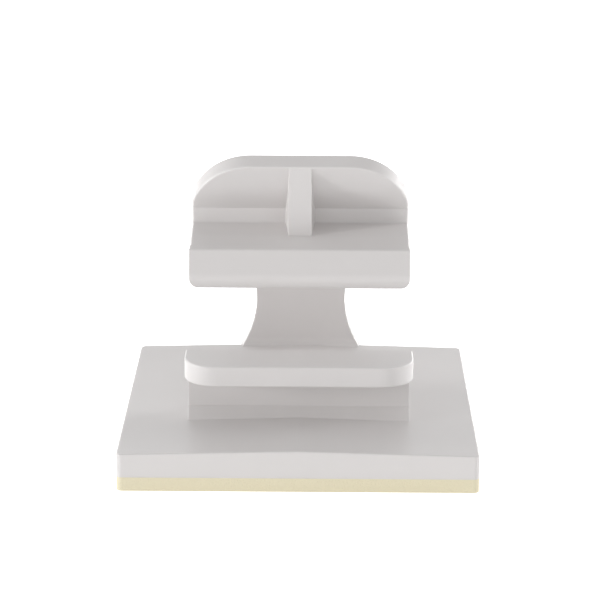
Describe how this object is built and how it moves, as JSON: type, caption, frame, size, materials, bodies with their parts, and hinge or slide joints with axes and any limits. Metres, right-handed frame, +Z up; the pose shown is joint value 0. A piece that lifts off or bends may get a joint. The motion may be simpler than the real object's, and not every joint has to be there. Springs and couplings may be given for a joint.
{
  "type": "cable clip",
  "caption": "Self-adhesive cable clip, moulded open: a strap bends over the cables and its hooked head snaps under the lip of an upright wall.",
  "frame": {"origin": "centre of the sticky underside of the foam pad", "axes": "+Z up, away from the surface the clip is stuck to; the lip and the finger tab face -Y; cables run along X"},
  "size_m": [0.0254, 0.0265, 0.021],
  "materials": {
    "body_plastic": "moulded polyamide, light warm grey-white, satin",
    "adhesive_foam": "closed-cell foam tape, cream, matt, cut square"
  },
  "bodies": {
    "root": {"clip_body": "body_plastic", "foam_pad": "adhesive_foam"}
  },
  "joints": []
}
